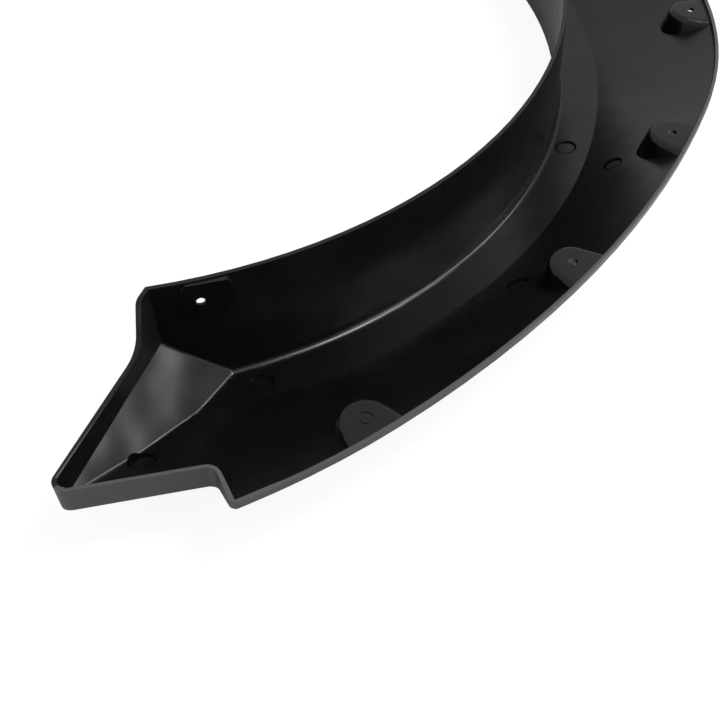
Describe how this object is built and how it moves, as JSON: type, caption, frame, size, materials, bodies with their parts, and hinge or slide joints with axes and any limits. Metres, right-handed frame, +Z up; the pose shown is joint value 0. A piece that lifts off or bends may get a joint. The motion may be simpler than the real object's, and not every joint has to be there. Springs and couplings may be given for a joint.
{
  "type": "wheel arch trim",
  "caption": "Arched black plastic wheel arch trim: hollow trough with an upright lip wall, bolt pockets along its rim and a pointed tail.",
  "frame": {"origin": "middle of the bounding box, at its bottom, on the table the trim lies on", "axes": "+X along the arch toward the pointed tail, +Y toward the crown of the arch, +Z up toward the side that faces the car"},
  "size_m": [1.051, 0.4798, 0.09],
  "materials": {
    "moulding": "satin black inside, finely grained matt outside"
  },
  "bodies": {
    "root": {"arch_trim": "moulding"}
  },
  "joints": []
}
